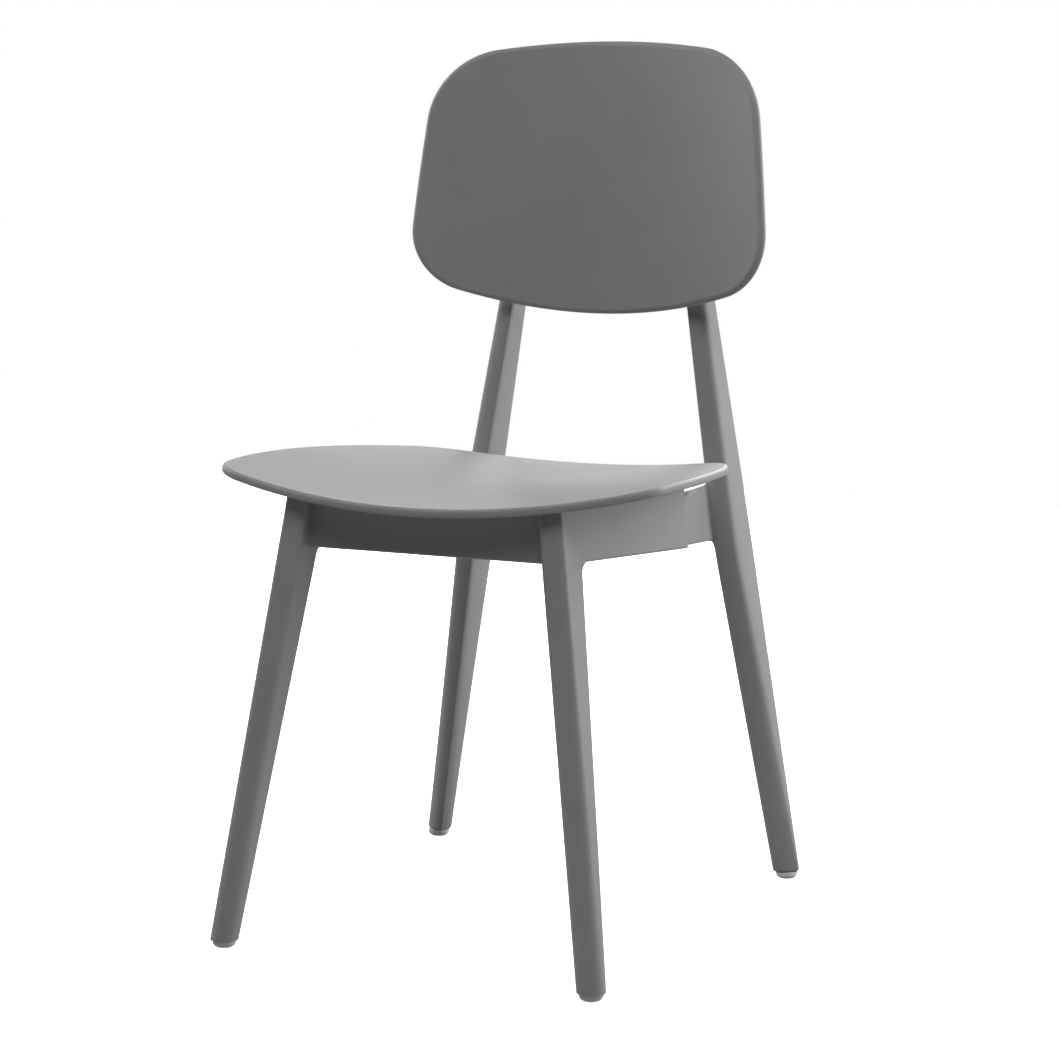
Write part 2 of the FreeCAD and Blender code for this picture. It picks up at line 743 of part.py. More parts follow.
def make_front_leg(side):
    body = new_body("front_leg_" + side_name(side))
    top = "(sizes.seat_height + 20)"
    bend_y = front_leg_back_y(size("rail_low_height"))
    bend = rail_low_z(bend_y)
    fade = f"({bend} - sizes.bend_fade)"
    rail_block(body, "Rail", side, [
        (front_leg_y(fade), fade),
        (f"({front_leg_back_y(fade)} - sizes.bend_depth)", fade),
        (bend_y, bend),
        (size("joint_y"), rail_low_z(size("joint_y"))),
        (joint_line_y(top), top),
        (front_leg_y(top), top),
    ])
    lean_sides(body, side)
    fillet(body, "RailBend", size("rail_leg_radius"), runs_across_at(bend_y, bend))
    fillet(body, "RailLowEdge", size("rail_edge_radius"), shared_by(body, faces_down, faces_sideways))
    foot = ("Foot", size("glide_height"), size("foot_width"), size("foot_width"), FOOT_RADIUS)
    head = ("Head", size("front_top_height"), size("front_top_width"), size("front_top_depth"),
            size("front_top_radius"))
    loft(body, "Leg", leg_sections(body, side, (foot, head), front_leg_x,
                                   lambda height, depth: front_leg_y(height)))
    trim_to_seat(body)
    for y in SEAT_SCREW_PLACES:
        cut_seat_screw(body, side, y)
    tenon(body, "Pocket", side, size("fit_clearance"))
    for height in FRAME_BOLT_HEIGHTS:
        cut_frame_bolt(body, side, height)
    apron_tenon(body, "Pocket", side, FRONT_APRON, size("fit_clearance"))
    bracket_bore(body, side, FRONT_CORNER)
    vent = along_rail_face(body, "Vent", side, size("vent_y"), through_point(side, size("vent_height"), HALF_RAIL))
    pocket(body, disc(vent, size("vent_diameter")), size("vent_depth"), reverse=side < 0)
    glide_bore(body, side, front_leg_x(size("glide_height")), front_leg_y(size("glide_height")))
    return body


def cut_insert(body, side, height):
    """The bore through the tenon for a bolt, widened for its insert."""
    name = "FrameInsert%d" % len(body.Group)
    point = through_point(side, height, "0")
    for label, diameter, reverse in (("", clear(size("frame_bolt_diameter")), side < 0),
                                     ("Wide", size("frame_insert_diameter"), side > 0)):
        sketch = along_rail_face(body, name + label, side, size("frame_bolt_y"), point)
        pocket(body, disc(sketch, diameter), size("tenon_width"), reverse=reverse)


def cut_back_screw(body, side, height):
    """A back rest screw's bore through an upright, with a wider one for its head and cap."""
    name = "BackScrew%d" % len(body.Group)
    for label, start, diameter in (("", f"({upright_front_y(height)} - 5)", "back_screw_diameter"),
                                   ("Head", back_head_y(height), "back_head_diameter")):
        sketch = front_view(body, name + label, start, f"{side} * {rear_leg_x(height)}", height)
        pocket(body, disc(sketch, clear(size(diameter))), FAR)


def make_rear_leg(side):
    body = new_body("rear_leg_" + side_name(side))
    low_joint = f"({rail_low_z(size('joint_y'))} + sizes.stub_step)"
    top = size("stub_top_height")
    bend_y = rear_leg_front_y(size("rail_low_height"))
    bend = f"({rail_low_z(bend_y)} + sizes.stub_step)"
    fade = f"({bend} - sizes.bend_fade)"
    rail_block(body, "Stub", side, [
        (joint_line_y(low_joint), low_joint),
        (bend_y, bend),
        (f"({rear_leg_front_y(fade)} + sizes.bend_depth)", fade),
        (rear_leg_y(fade, size("knee_low_depth")), fade),
        (rear_leg_y(top, size("knee_low_depth")), top),
        (joint_line_y(top), top),
    ])
    lean_sides(body, side, size("stub_recess"))
    fillet(body, "StubBend", size("stub_leg_radius"), runs_across_at(bend_y, bend))
    fillet(body, "StubLowEdge", size("rail_edge_radius"), shared_by(body, faces_down, faces_sideways))
    sections = (
        ("Foot", size("glide_height"), size("foot_width"), size("foot_width"), FOOT_RADIUS),
        ("KneeLow", size("knee_low_height"), size("knee_low_width"), size("knee_low_depth"),
         size("knee_radius")),
        ("KneeHigh", size("knee_high_height"), size("knee_high_width"), size("knee_high_depth"),
         size("knee_radius")),
        ("UprightTop", size("upright_height"), size("upright_top_width"), size("upright_top_depth"),
         size("upright_top_radius")),
    )
    loft(body, "Leg", leg_sections(body, side, sections, rear_leg_x, rear_leg_y))
    fillet(body, "UprightTopEdge", size("upright_top_edge"), at_height(size("upright_height")))
    tenon(body, "Pad", side)
    for height in FRAME_BOLT_HEIGHTS:
        cut_insert(body, side, height)
    apron_tenon(body, "Pocket", side, REAR_APRON, size("fit_clearance"))
    bracket_bore(body, side, REAR_CORNER)
    for height in BACK_SCREW_HEIGHTS:
        cut_back_screw(body, side, height)
    glide_bore(body, side, rear_leg_x(size("glide_height")),
               rear_leg_y(size("glide_height"), size("foot_width")))
    return body


def make_apron(apron, corner):
    body = new_body(apron["name"])
    meets_seat = apron is FRONT_APRON
    low = apron["low"]
    top = "(sizes.seat_height + 20)" if meets_seat else size("rear_apron_top_height")
    end_low, end_top = apron["end_x"](low), apron["end_x"](top)
    corners = [("-" + end_low, low), (end_low, low), (end_top, top), ("-" + end_top, top)]
    pad(body, outline(front_view(body, "ApronFront", apron["front"]), corners), apron["thickness"],
        reverse=True)
    if meets_seat:
        fillet(body, "ApronEdges", size("apron_edge_radius"),
               lambda edge: runs_along(edge, ACROSS) and at_height(low)(edge))
        trim_to_seat(body)
    else:
        fillet(body, "ApronEdges", size("apron_edge_radius"), lambda edge: runs_along(edge, ACROSS))
    for side in SIDES:
        apron_tenon(body, "Pad", side, apron)
        x, z = bracket_point(side, corner, size("bracket_hole_place"), "sizes.bracket_length / 2")
        bore = front_view(body, "BracketBore" + side_name(side), corner["face_y"], x, z)
        pocket(body, disc(bore, clear(size("bracket_screw_diameter"))), clear(BRACKET_BITE),
               reverse=meets_seat)
    return body


def make_bracket(side, corner):
    body = new_body("corner_bracket_%s_%s" % (corner["end"], side_name(side)))
    arm, plate = "sizes.bracket_arm", "sizes.bracket_plate"
    inward, along = -side, corner["along"]
    corners = [
        ("0", "0"),
        ("0", f"{along} * {arm}"),
        (f"{inward} * {plate}", f"{along} * {arm}"),
        (f"{inward} * {plate}", f"{along} * {plate}"),
        (f"{inward} * {arm}", f"{along} * {plate}"),
        (f"{inward} * {arm}", "0"),
    ]
    sketch = up_rail(body, "Angle", side, corner["height"], corner["face_y"], corner["inset"])
    pad(body, outline(sketch, corners), size("bracket_length"))
    half_way = "sizes.bracket_length / 2"
    x, z = bracket_point(side, corner, size("bracket_hole_place"), half_way)
    for_apron = front_view(body, "ApronHole", corner["face_y"], x, z)
    for_rail = along_rail_face(body, "RailHole", side, bracket_screw_y(corner),
                               bracket_point(side, corner, "0", half_way))
    for sketch in (for_apron, for_rail):
        pocket(body, disc(sketch, clear(size("bracket_screw_diameter"))), f"4 * {plate}", both=True)
    return body


# Back rest

def back_outline(sketch):
    top, bottom = size("back_top_half_width"), size("back_bottom_half_width")
    high = "(sizes.back_top_height - sizes.back_top_drop)"
    low = "(sizes.back_bottom_height + sizes.back_bottom_rise)"
    chord = f"sqrt(({bottom} - {top}) ^ 2 + ({high} - {low}) ^ 2)"
    side = arc_radius(chord, size("back_side_bulge"))
    low_end = arc_radius("2 * " + bottom, size("back_bottom_rise"))
    top_end = arc_radius("2 * " + top, size("back_top_drop"))
    corners = [("-" + bottom, low), (bottom, low), (top, high), ("-" + top, high)]
    return outline(sketch, corners, {0: (low_end, 1), 1: (side, 1), 2: (top_end, 1), 3: (side, 1)})


def cut_along_back(body, name, radius, middle, limit):
    """Removes what lies between an upright arc, hollow forwards, and a place well before or behind it."""
    reach = "(sizes.back_bottom_half_width + 25)"
    rim = f"({middle} - {radius} + sqrt({radius} ^ 2 - {reach} ^ 2))"
    corners = [("-" + reach, rim), (reach, rim), (reach, limit), ("-" + reach, limit)]
    sketch = outline(new_sketch(body, name, "XY_Plane", ("0", "0", BACK_MIDDLE)), corners, {0: (radius, -1)})
    return pocket(body, sketch, THROUGH, both=True, direction=("0", BACK_LEAN, "1"))


def add_back_boss(body, side, height):
    """A round boss behind the back rest, cut to the flat front of the upright, with its screw bore."""
    name = "BackBoss%d" % len(body.Group)
    x = f"{side} * {rear_leg_x(height)}"
    behind = f"({upright_front_y(height)} + 5)"
    sketch = disc(front_view(body, name, behind, x, height), size("boss_diameter"))
    pad(body, sketch, "(sizes.back_stand_off + sizes.back_thickness / 2 + 5)")
    low, high = f"({height} - sizes.boss_diameter)", f"({height} + sizes.boss_diameter)"
    further = f"({behind} + 5)"
    corners = [(upright_front_y(low), low), (further, low), (further, high), (upright_front_y(high), high)]
    pocket(body, outline(side_view(body, name + "End", x), corners), "(2 * sizes.boss_diameter)", both=True)
    bore = front_view(body, name + "Bore", f"({upright_front_y(height)} - {clear('sizes.back_screw_bite')})",
                      x, height)
    pocket(body, disc(bore, clear(size("back_screw_diameter"))), FAR)


def make_back():
    body = new_body("back_panel")
    sketch = back_outline(front_view(body, "BackOutline", f"({BACK_FACE_Y} - 100)"))
    pad(body, sketch, "200", reverse=True)
    half_way = number(BACK_MIDDLE)
    for place, high in (("top", True), ("bottom", False)):
        fillet(body, "BackCorners" + place, size("back_%s_corner" % place),
               lambda edge: runs_along(edge, BACKWARDS) and (edge.CenterOfMass.z > half_way) == high)
    cut_along_back(body, "BackHollow", size("back_bow_radius"), BACK_FACE_Y, f"({BACK_FACE_Y} - {FAR})")
    cut_along_back(body, "BackRear", BACK_OUTER_RADIUS, f"({BACK_FACE_Y} + sizes.back_thickness)",
                   f"({BACK_FACE_Y} + {FAR})")
    front, rear = sorted(sorted(body.Shape.Faces, key=lambda face: face.Area)[-2:],
                         key=lambda face: face.CenterOfMass.y)
    fillet(body, "BackFrontEdge", size("back_front_edge"), around(front))
    fillet(body, "BackRearEdge", size("back_rear_edge"), around(rear))
    for side in SIDES:
        for height in BACK_SCREW_HEIGHTS:
            add_back_boss(body, side, height)
    return body


# Glides

def make_glide(end, side, x, y):
    """A round foot with a flat, a bulging rim and a stem that goes up the leg."""
    body = new_body("glide_%s_%s" % (end, side_name(side)))
    flat, rim, stem = (f"(sizes.glide_{name}diameter / 2)" for name in ("flat_", "", "stem_"))
    top = "(sizes.glide_height + sizes.glide_stem_length)"
    corners = [
        ("0", "0"),
        (flat, "0"),
        (rim, size("glide_dome")),
        (rim, size("glide_height")),
        (stem, size("glide_height")),
        (stem, top),
        ("0", top),
    ]
    bulge = f"(sqrt(({rim} - {flat}) ^ 2 + sizes.glide_dome ^ 2))"
    sketch = outline(new_sketch(body, "Turning", "XZ_Plane"), corners, {1: (bulge, 1)})
    turned = body.newObject("PartDesign::Revolution", "Glide")
    turned.Profile = sketch
    turned.ReferenceAxis = (sketch, ["V_Axis"])
    turned.Angle = 360
    sketch.Visibility = False
    body.setExpression("Placement.Base.x", f"{side} * {x}")
    body.setExpression("Placement.Base.y", y)
    return body


# Screws, bolts and caps

def put(item, base, axis=None, angle="0"):
    """Places an item by formulas, turned about an axis."""
    if axis:
        item.Placement = FreeCAD.Placement(FreeCAD.Vector(), FreeCAD.Rotation(axis, 1))
        item.setExpression("Placement.Rotation.Angle", angle)
    for letter, formula in zip("xyz", base):
        item.setExpression("Placement.Base." + letter, formula)
    return item


def cylinder(name, diameter, start, length):
    item = doc.addObject("Part::Cylinder", name)
    item.setExpression("Radius", f"{diameter} / 2")
    item.setExpression("Height", length)
    return put(item, ("0", "0", start))


def cut_from(name, base, tool):
    item = doc.addObject("Part::Cut", name)
    item.Base, item.Tool = base, tool
    return item


def fastener(name, kind, length):
    """A screw or bolt that points up from its head, which lies under the origin and has a hexagon recess."""
    head_height = f"sizes.{kind}_head_height"
    overlap = f"({head_height} / 2)"
    solid = doc.addObject("Part::Fuse", name + "_solid")
    solid.Base = cylinder(name + "_head", f"sizes.{kind}_head_diameter", "-" + head_height, head_height)
    solid.Tool = cylinder(name + "_shank", SHANKS[kind], "-" + overlap, f"({length} + {overlap})")
    recess = doc.addObject("Part::Prism", name + "_recess")
    recess.Polygon = 6
    recess.setExpression("Circumradius", "sizes.recess_across / 2 / cos(30)")
    recess.setExpression("Height", size("recess_depth"))
    return cut_from(name, solid, put(recess, ("0", "0", "-" + head_height)))


SHANKS = {
    "seat": size("seat_screw_diameter"),
    "frame": size("frame_bolt_diameter"),
    "back": size("back_screw_diameter"),
    "bracket": size("bracket_screw_diameter"),
}


def ring(name, outer, inner, length):
    return cut_from(name, cylinder(name + "_outer", outer, "0", length),
                    cylinder(name + "_inner", inner, "0", length))


def group(name, members):
    item = doc.addObject("Part::Compound", name)
    item.Label = name
    item.Links = members
    return item


def make_seat_screws():
    length = "(sizes.seat_web + sizes.fit_clearance + sizes.seat_screw_bite)"
    screws = []
    for side in SIDES:
        for y in SEAT_SCREW_PLACES:
            height = seat_head_height(y)
            item = fastener("seat_screw_%d" % len(screws), "seat", length)
            base = (f"{side} * {rail_middle_x(height)}", y, height)
            screws.append(put(item, base, BACKWARDS, f"{-side} * {RAIL_TILT}"))
    return group("seat_screws", screws)


def make_frame_bolts():
    bolts, inserts = [], []
    length = f"(sizes.frame_insert_length - sizes.fit_clearance - {FRAME_HEAD_SEAT})"
    for side in SIDES:
        for height in FRAME_BOLT_HEIGHTS:
            turn = f"{side} * (90 deg - {RAIL_TILT})"
            bolt = fastener("frame_bolt_%d" % len(bolts), "frame", length)
            x, z = through_point(side, height, FRAME_HEAD_SEAT)
            bolts.append(put(bolt, (x, size("frame_bolt_y"), z), BACKWARDS, turn))
            insert = ring("frame_insert_%d" % len(inserts), size("frame_insert_diameter"),
                          clear(size("frame_bolt_diameter")), size("frame_insert_length"))
            x, z = through_point(side, height, "0")
            inserts.append(put(insert, (x, size("frame_bolt_y"), z), BACKWARDS, turn))
    return [group("frame_bolts", bolts), group("frame_inserts", inserts)]


def make_back_screws():
    screws, caps = [], []
    for side in SIDES:
        for height in BACK_SCREW_HEIGHTS:
            x = f"{side} * {rear_leg_x(height)}"
            screw = fastener("back_screw_%d" % len(screws), "back", "(sizes.back_web + sizes.back_screw_bite)")
            screws.append(put(screw, (x, back_head_y(height), height), ACROSS, "90"))
            cap = cylinder("back_cap_%d" % len(caps), size("back_head_diameter"), "0", size("cap_thickness"))
            caps.append(put(cap, (x, f"({rear_leg_y(height, '0')} - sizes.fit_clearance)", height), ACROSS, "90"))
    return [group("back_screws", screws), group("back_screw_caps", caps)]


def make_bracket_screws():
    length = size("bracket_screw_length")
    half_way = "sizes.bracket_length / 2"
    screws = []
    for corner in (FRONT_CORNER, REAR_CORNER):
        for side in SIDES:
            x, z = bracket_point(side, corner, size("bracket_hole_place"), half_way)
            y = f"({corner['face_y']} + {corner['along']} * sizes.bracket_plate)"
            item = fastener("bracket_screw_%d" % len(screws), "bracket", length)
            screws.append(put(item, (x, y, z), ACROSS, str(90 * corner["along"])))
            x, z = bracket_point(side, corner, size("bracket_plate"), half_way)
            item = fastener("bracket_screw_%d" % len(screws), "bracket", length)
            screws.append(put(item, (x, bracket_screw_y(corner), z), BACKWARDS,
                              f"{side} * (90 deg - {RAIL_TILT})"))
    return group("bracket_screws", screws)


# Assembly

def make_chair():
    foot = size("glide_height")
    pieces = [make_seat(), make_back()]
    for side in SIDES:
        pieces.append(make_front_leg(side))
        pieces.append(make_rear_leg(side))
        pieces.append(make_bracket(side, FRONT_CORNER))
        pieces.append(make_bracket(side, REAR_CORNER))
        pieces.append(make_glide("front", side, front_leg_x(foot), front_leg_y(foot)))
        pieces.append(make_glide("rear", side, rear_leg_x(foot), rear_leg_y(foot, size("foot_width"))))
    pieces.append(make_apron(FRONT_APRON, FRONT_CORNER))
    pieces.append(make_apron(REAR_APRON, REAR_CORNER))
    pieces.append(make_seat_screws())
    pieces.extend(make_frame_bolts())
    pieces.extend(make_back_screws())
    pieces.append(make_bracket_screws())
    return pieces


pieces = make_chair()
doc.recompute()

for item in doc.Objects:
    if "Invalid" in item.State or "Error" in item.State:
        raise ValueError("%s failed" % item.Name)
for piece in pieces:
    if piece.Shape.isNull() or not piece.Shape.isValid():
        raise ValueError("%s has no valid shape" % piece.Label)

for piece in pieces:
    piece.Shape.exportStep("parts/%s.step" % piece.Label)
    print(piece.Label, len(piece.Shape.Solids), round(piece.Shape.Volume))
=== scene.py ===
import bmesh
import bpy
import json
from math import cos, pi, radians, sin, tan
from mathutils import Matrix, Vector


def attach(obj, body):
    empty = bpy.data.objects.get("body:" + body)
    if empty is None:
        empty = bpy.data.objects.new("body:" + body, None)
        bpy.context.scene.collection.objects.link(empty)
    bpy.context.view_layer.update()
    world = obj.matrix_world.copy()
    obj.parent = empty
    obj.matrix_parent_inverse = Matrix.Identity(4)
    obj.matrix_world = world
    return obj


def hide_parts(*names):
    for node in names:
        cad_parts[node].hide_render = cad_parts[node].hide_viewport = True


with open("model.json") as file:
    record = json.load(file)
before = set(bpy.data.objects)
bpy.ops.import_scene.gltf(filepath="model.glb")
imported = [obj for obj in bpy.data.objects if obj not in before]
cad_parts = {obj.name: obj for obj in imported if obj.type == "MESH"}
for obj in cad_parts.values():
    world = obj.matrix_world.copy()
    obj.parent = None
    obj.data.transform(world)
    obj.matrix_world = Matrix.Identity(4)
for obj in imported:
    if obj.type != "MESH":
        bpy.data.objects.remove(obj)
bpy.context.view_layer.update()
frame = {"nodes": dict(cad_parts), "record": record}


# Shader arithmetic

def feed(tree, socket, value):
    """Links a shade to a socket, or sets the socket to a plain value."""
    if isinstance(value, Shade):
        tree.links.new(value.socket, socket)
    else:
        socket.default_value = value


class Shade:
    """A shader socket that takes part in Python arithmetic. Its make method adds any other node."""

    def __init__(self, tree, socket):
        self.tree = tree
        self.socket = socket

    def make(self, kind, settings, inputs, output=0):
        node = self.tree.nodes.new(kind)
        for name, value in settings.items():
            setattr(node, name, value)
        for name, value in inputs.items():
            feed(self.tree, node.inputs[name], value)
        return Shade(self.tree, node.outputs[output])

    def maths(self, operation, first, second):
        return self.make("ShaderNodeMath", {"operation": operation}, {0: first, 1: second})

    def __add__(self, other):
        return self.maths("ADD", self, other)

    def __radd__(self, other):
        return self.maths("ADD", other, self)

    def __sub__(self, other):
        return self.maths("SUBTRACT", self, other)

    def __mul__(self, other):
        return self.maths("MULTIPLY", self, other)


def new_material(name):
    """A material and its one Principled shader."""
    material = bpy.data.materials.new(name)
    material.use_nodes = True
    return material, material.node_tree.nodes["Principled BSDF"]


def place_on_piece(tree):
    """The place on the piece to paint by, in metres."""
    return Shade(tree, tree.nodes.new("ShaderNodeTexCoord").outputs["Object"])


def noise(place, waves, detail, roughness=0.5, stretch=None):
    """Noise about zero, from -0.5 to 0.5, with so many waves in a metre."""
    if stretch:
        place = place.make("ShaderNodeMapping", {}, {"Vector": place, "Scale": stretch})
    settings = {"noise_dimensions": "3D"}
    inputs = {"Vector": place, "Scale": waves, "Detail": detail, "Roughness": roughness}
    return place.make("ShaderNodeTexNoise", settings, inputs) - 0.5


# The Mix node has a set of sockets for each kind of value. These are the numbers of its colour sockets.

MIX_LEVEL = 0
MIX_DARK = 6
MIX_LIGHT = 7
MIX_RESULT = 2


def tint(level, dark, light):
    """A colour that runs from dark at 0 to light at 1."""
    inputs = {MIX_LEVEL: level, MIX_DARK: (*dark, 1), MIX_LIGHT: (*light, 1)}
    return level.make("ShaderNodeMix", {"data_type": "RGBA"}, inputs, MIX_RESULT)


def bump(height, distance, strength):
    return height.make("ShaderNodeBump", {}, {"Height": height, "Distance": distance, "Strength": strength})


# Materials. Each texture has its waves in a metre and its shares of colour, roughness and relief.

MIDDLE_TINT = 0.5

CLOUD_WAVES = 9
CLOUD_TINT = 0.9
SPARK_WAVES = 1400
SPARK_TINT = 0.35
SPARK_DULLNESS = 0.08
SPARK_DEPTH = 0.00006               # in metres
SPARK_STRENGTH = 0.6
RUB_WAVES = 30
RUB_TINT = 0.3
RUB_DULLNESS = 0.12
RUB_RELIEF = 0.4
PLASTIC_SHINE = 0.28

SPOT_WAVES = 160
SPOT_TINT = 0.8
SPOT_DULLNESS = 0.2
SPOT_RELIEF = 0.5
TURNING_WAVES = 900
TURNING_STRETCH = (1, 1, 6)
TURNING_TINT = 0.4
TURNING_DULLNESS = 0.1
TURNING_DEPTH = 0.00003             # in metres
TURNING_STRENGTH = 0.5


def plastic(name, dark, light, roughness):
    """Moulded plastic with a fine spark texture, faint clouding and rubbed patches."""
    material, shader = new_material(name)
    tree = material.node_tree
    place = place_on_piece(tree)
    cloud = noise(place, CLOUD_WAVES, detail=4)
    spark = noise(place, SPARK_WAVES, detail=2)
    rub = noise(place, RUB_WAVES, detail=5, roughness=0.65)
    level = MIDDLE_TINT + cloud * CLOUD_TINT + spark * SPARK_TINT + rub * RUB_TINT
    relief = spark + rub * RUB_RELIEF
    feed(tree, shader.inputs["Base Color"], tint(level, dark, light))
    feed(tree, shader.inputs["Roughness"], roughness + rub * RUB_DULLNESS + spark * SPARK_DULLNESS)
    feed(tree, shader.inputs["Normal"], bump(relief, SPARK_DEPTH, SPARK_STRENGTH))
    shader.inputs["Specular IOR Level"].default_value = PLASTIC_SHINE
    return material


def metal(name, dark, light, roughness, metallic=1.0):
    """Metal with fine turning marks and dull spots."""
    material, shader = new_material(name)
    tree = material.node_tree
    place = place_on_piece(tree)
    spots = noise(place, SPOT_WAVES, detail=4)
    turning = noise(place, TURNING_WAVES, detail=2, stretch=TURNING_STRETCH)
    level = MIDDLE_TINT + spots * SPOT_TINT + turning * TURNING_TINT
    relief = turning + spots * SPOT_RELIEF
    feed(tree, shader.inputs["Base Color"], tint(level, dark, light))
    feed(tree, shader.inputs["Roughness"], roughness + spots * SPOT_DULLNESS + turning * TURNING_DULLNESS)
    feed(tree, shader.inputs["Normal"], bump(relief, TURNING_DEPTH, TURNING_STRENGTH))
    shader.inputs["Metallic"].default_value = metallic
    return material


MATERIALS = {
    "shell": plastic("grey_shell", (0.235, 0.232, 0.225), (0.275, 0.272, 0.264), 0.55),
    "frame": plastic("grey_frame", (0.225, 0.222, 0.215), (0.265, 0.262, 0.254), 0.55),
    "glide": plastic("pale_glide", (0.60, 0.60, 0.59), (0.70, 0.70, 0.68), 0.4),
    # Dark bracket colour. The same material paints the shade inside the vent holes
    "bracket": metal("dark_bracket_and_vent_shade", (0.03, 0.03, 0.03), (0.06, 0.06, 0.06), 0.5, 0.0),
    "steel": metal("plated_steel", (0.52, 0.52, 0.51), (0.66, 0.66, 0.65), 0.34),
    "insert": metal("insert_brass", (0.55, 0.40, 0.16), (0.72, 0.55, 0.26), 0.36),
}

SOFTENED = ("front_leg_left", "front_leg_right", "front_apron", "rear_apron")
SOFT_EDGE = 0.0012                  # in metres
SOFT_STEPS = 3
SHARP_ANGLE = radians(40)


def dress_nodes():
    """Gives each node the material of its slot, and rounds the sharp edges of some."""
    for entry in frame["record"]["subparts"]:
        node = frame["nodes"][entry["node"]]
        node.data.materials.clear()
        node.data.materials.append(MATERIALS[entry["material_slot"]])
        if entry["node"] in SOFTENED:
            edge = node.modifiers.new("Soft edges", "BEVEL")
            edge.width = SOFT_EDGE
            edge.segments = SOFT_STEPS
            edge.limit_method = "ANGLE"
            edge.angle_limit = SHARP_ANGLE


# Pieces. Their places are given in millimetres and the finished meshes are in metres.

MM = 0.001
SIDES = (1, -1)


def finish_piece(name, mesh, node, slot, smooth_levels=0):
    """Turns a mesh in millimetres into a piece. It stands for a node, unless the node is None."""
    bmesh.ops.scale(mesh, vec=(MM, MM, MM), verts=mesh.verts)
    bmesh.ops.recalc_face_normals(mesh, faces=mesh.faces)
    for face in mesh.faces:
        face.smooth = True
    data = bpy.data.meshes.new(name)
    mesh.to_mesh(data)
    mesh.free()
    data.materials.append(MATERIALS[slot])
    piece = bpy.data.objects.new(name, data)
    bpy.context.collection.objects.link(piece)
    if smooth_levels:
        smoothing = piece.modifiers.new("Smooth", "SUBSURF")
        smoothing.levels = smooth_levels
        smoothing.render_levels = smooth_levels
    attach(piece, "root")
    if node:
        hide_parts(node)


def between(low, high, share):
    return low + (high - low) * share


def add_disc(mesh, place, axis, radius, depth, corners):
    """A short cylinder about a place, laid on its side by a quarter turn about an axis."""
    turned = Matrix.Translation(place) @ Matrix.Rotation(pi / 2, 4, axis)
    bmesh.ops.create_cone(mesh, cap_ends=True, segments=corners, radius1=radius, radius2=radius,
                          depth=depth, matrix=turned)


# Rear legs: a foot, a knee with a stub towards the side rail, and an upright behind the back rest

REAR_FOOT_X = 206.5
REAR_BACK_Y = 250.5
REAR_SPLAY = tan(radians(9.34))
REAR_RAKE = tan(radians(0.96))
FOOT_HEIGHT = 7
FOOT_EDGE = 2
UPRIGHT_HEIGHT = 812
UPRIGHT_EDGE = 3
REAR_SMOOTHING = 3

# Height, width, depth and softness of the corners

REAR_KNOTS = (
    (FOOT_HEIGHT, 27, 27, 8),
    (345, 26, 54, 4),
    (425, 25, 50, 4),
    (UPRIGHT_HEIGHT, 18, 21, 4),
)
OUTER_SOFTNESS = 1.6                # how much softer the front outer corner is than the others
INNER_NARROWNESS = 0.5              # width of the front inner corner against its depth

# The stub, from its root at the leg to its joint with the rail

STUB_LOW = 359
STUB_TOP = 415.5
STUB_EDGE = 3
STUB_ROOT = 3.6                     # from the leg's inner face to the stub's outer face, at the leg
STUB_BEND = 20                      # height of the bend under the stub
STUB_SHOULDER = 8                   # height of the bend over it
STUB_COLUMNS = 3                    # corners of the leg's outline that carry the stub
STUB_STEPS = (0.16, 0.5, 0.8, 0.98, 1)
JOINT_Y = 85
JOINT_LEAN = tan(radians(9))
JOINT_LOW = 367
JOINT_OUTER_X = 149.5               # the stub's outer face at the joint, at its lower edge
JOINT_INNER_X = 132.5
RAIL_LEAN = tan(radians(8.5))


def rear_middle(height):
    """The middle of a rear leg's width and the place of its back face, at one height."""
    return REAR_FOOT_X - REAR_SPLAY * height, REAR_BACK_Y - REAR_RAKE * height


def rear_section(height):
    """The twelve corners of a rear leg's outline at one height. The first three carry the stub."""
    for low, high in zip(REAR_KNOTS, REAR_KNOTS[1:]):
        if height <= high[0]:
            share = (height - low[0]) / (high[0] - low[0])
            width, depth, soft = (between(start, end, share) for start, end in zip(low[1:], high[1:]))
            break
    middle, back = rear_middle(height)
    front = back - depth
    inner = middle - width / 2
    outer = middle + width / 2
    deep = soft * OUTER_SOFTNESS
    root = min(inner + STUB_ROOT, middle)
    half_way = (front + back) / 2
    return [
        (inner, front + soft), (inner + soft * INNER_NARROWNESS, front), (root, front),
        (outer - deep, front), (outer, front + deep), (outer, half_way), (outer, back - soft),
        (outer - soft, back), (middle, back), (inner + soft, back),
        (inner, back - soft), (inner, half_way),
    ]


def edged_rows(low, top):
    """Heights of a face's rows: both ends, a row close to each, and the middle."""
    return low, low + STUB_EDGE, (low + top) / 2, top - STUB_EDGE, top


REAR_HEIGHTS = (
    (FOOT_HEIGHT, FOOT_HEIGHT + FOOT_EDGE, 40, 110, 190, 260, 310, STUB_LOW - STUB_BEND)
    + edged_rows(STUB_LOW, STUB_TOP)
    + (STUB_TOP + STUB_SHOULDER, 450, 520, 600, 690, 770, UPRIGHT_HEIGHT - UPRIGHT_EDGE, UPRIGHT_HEIGHT)
)


def joint_place(row, column):
    """A corner of the stub's end, where it meets the rail."""
    height = edged_rows(JOINT_LOW, STUB_TOP)[row]
    rise = height - JOINT_LOW
    across = (JOINT_INNER_X, JOINT_INNER_X + STUB_EDGE, JOINT_OUTER_X)[column]
    return Vector((across - RAIL_LEAN * rise, JOINT_Y + JOINT_LEAN * rise, height))


def rim(grid):
    """The vertices round the edge of a grid of rows, in order."""
    right = [row[-1] for row in grid]
    left = [row[0] for row in grid]
    return grid[0][:-1] + right[:-1] + list(reversed(grid[-1]))[:-1] + list(reversed(left))[:-1]


def join_rims(mesh, near, far):
    """A band of faces between the edges of two equal grids."""
    near, far = rim(near), rim(far)
    for index, vertex in enumerate(near):
        following = (index + 1) % len(near)
        mesh.faces.new((vertex, near[following], far[following], far[index]))


